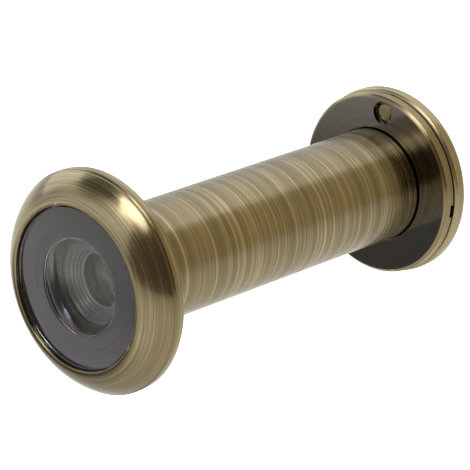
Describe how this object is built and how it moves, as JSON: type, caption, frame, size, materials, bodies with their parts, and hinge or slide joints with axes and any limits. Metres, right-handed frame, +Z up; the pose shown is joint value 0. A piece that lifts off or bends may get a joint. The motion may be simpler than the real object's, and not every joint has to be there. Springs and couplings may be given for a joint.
{
  "type": "door viewer",
  "caption": "Telescoping brass door viewer: wide-angle lens in a conical bezel, long barrel, and an indoor flange with a swinging privacy cover.",
  "frame": {"origin": "on the optical axis, midway between the front lip and the head of the cover's rivet, inside the hole of the door that holds the viewer", "axes": "+Y along the optical axis from outdoors to indoors, +Z up through the pivot of the cover, +X to the right seen from outdoors"},
  "size_m": [0.03, 0.0634, 0.03],
  "materials": {
    "antique_brass": "antique brass, brushed round the axis and lacquered",
    "polished_brass": "dark antique brass, polished on its flat face",
    "black_plastic": "matt black, against stray light",
    "black_rubber": "matt black ring",
    "optical_glass": "clear polished optical glass",
    "spring_steel": "plain bright spring steel"
  },
  "bodies": {
    "front_half": {"outer_barrel": "antique_brass", "front_bezel": "antique_brass", "front_gasket": "black_rubber", "objective_lens": "optical_glass", "lens_mask": "black_plastic", "lens_cell": "black_plastic", "second_lens": "optical_glass", "lens_spacer": "black_plastic", "third_lens": "optical_glass", "lens_retainer": "black_plastic"},
    "tube_carriage": {"eyepiece_lens": "optical_glass"},
    "eyepiece_half": {"inner_tube": "antique_brass", "rear_flange": "polished_brass", "field_stop": "black_plastic", "eyepiece_seat": "black_plastic", "eyepiece_retainer": "black_plastic", "pivot_rivet": "antique_brass", "pivot_washer": "spring_steel", "wave_washer": "spring_steel"},
    "cover": {"privacy_cover": "antique_brass"}
  },
  "joints": [
    {"name": "tube_slide", "type": "slide", "parent": "front_half", "child": "tube_carriage", "axis": [0, 1, 0], "range_m": [0, 0.0301]},
    {"name": "eyepiece_turn", "type": "hinge", "parent": "tube_carriage", "child": "eyepiece_half", "pos_m": [0, 0.0271, 0], "axis": [0, 1, 0], "range_deg": [0, 10800]},
    {"name": "cover_swing", "type": "hinge", "parent": "eyepiece_half", "child": "cover", "pos_m": [0, 0.02905, 0.0107], "axis": [0, 1, 0], "continuous": true}
  ],
  "couplings": [
    {"joint": "tube_slide", "follows": "eyepiece_turn", "m_per_rad": 0.00015915}
  ]
}
